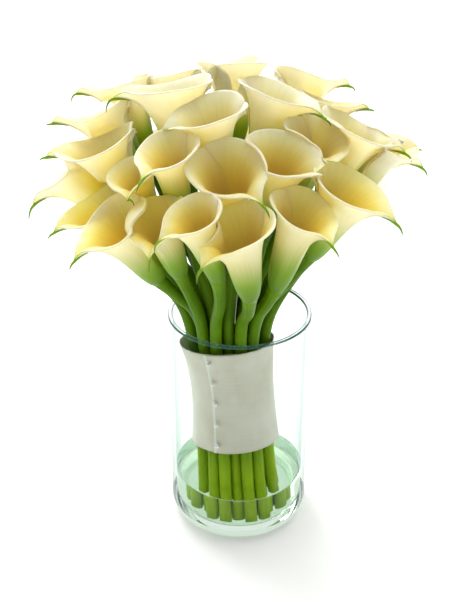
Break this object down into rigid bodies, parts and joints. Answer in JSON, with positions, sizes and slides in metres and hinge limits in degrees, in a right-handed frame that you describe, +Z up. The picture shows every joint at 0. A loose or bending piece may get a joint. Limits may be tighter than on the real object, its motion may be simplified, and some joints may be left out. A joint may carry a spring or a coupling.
{
  "type": "calla lily bouquet in a glass vase",
  "caption": "Hand-tied dome of cream calla lilies with green stems bound in satin ribbon and pins, standing in water in a clear glass cylinder vase.",
  "frame": {"origin": "centre of the vase's flat underside, on the surface it stands on", "axes": "+Z up along the vase's axis, -Y towards the viewer of the bouquet's front, +X to that viewer's right"},
  "size_m": [0.3334, 0.2723, 0.3945],
  "materials": {
    "petal": "waxy cream petal, satin sheen, shading to green at the stem and the tip",
    "stem": "smooth fleshy green stalk",
    "spadix": "dusty golden yellow, finely grained",
    "glass": "clear polished soda glass with a faint green edge",
    "water": "clear still water",
    "ribbon": "ivory satin weave",
    "pin": "pearl pin head, glossy"
  },
  "bodies": {
    "root": {"vase": "glass", "water": "water", "ribbon": "ribbon", "pin_1": "pin", "pin_2": "pin", "pin_3": "pin", "pin_4": "pin", "pin_5": "pin", "flower_01": "petal", "flower_02": "petal", "flower_03": "petal", "flower_04": "petal", "flower_05": "petal", "flower_06": "petal", "flower_07": "petal", "flower_08": "petal", "flower_09": "petal", "flower_10": "petal", "flower_11": "petal", "flower_12": "petal", "flower_13": "petal", "flower_14": "petal", "flower_15": "petal", "flower_16": "petal", "flower_17": "petal", "flower_18": "petal", "flower_19": "petal", "flower_20": "petal", "flower_21": "petal", "flower_22": "petal", "flower_23": "petal", "flower_24": "petal", "flower_25": "petal", "flower_26": "petal", "flower_27": "petal", "flower_28": "petal", "flower_29": "petal", "flower_30": "petal", "flower_31": "petal"}
  },
  "joints": []
}
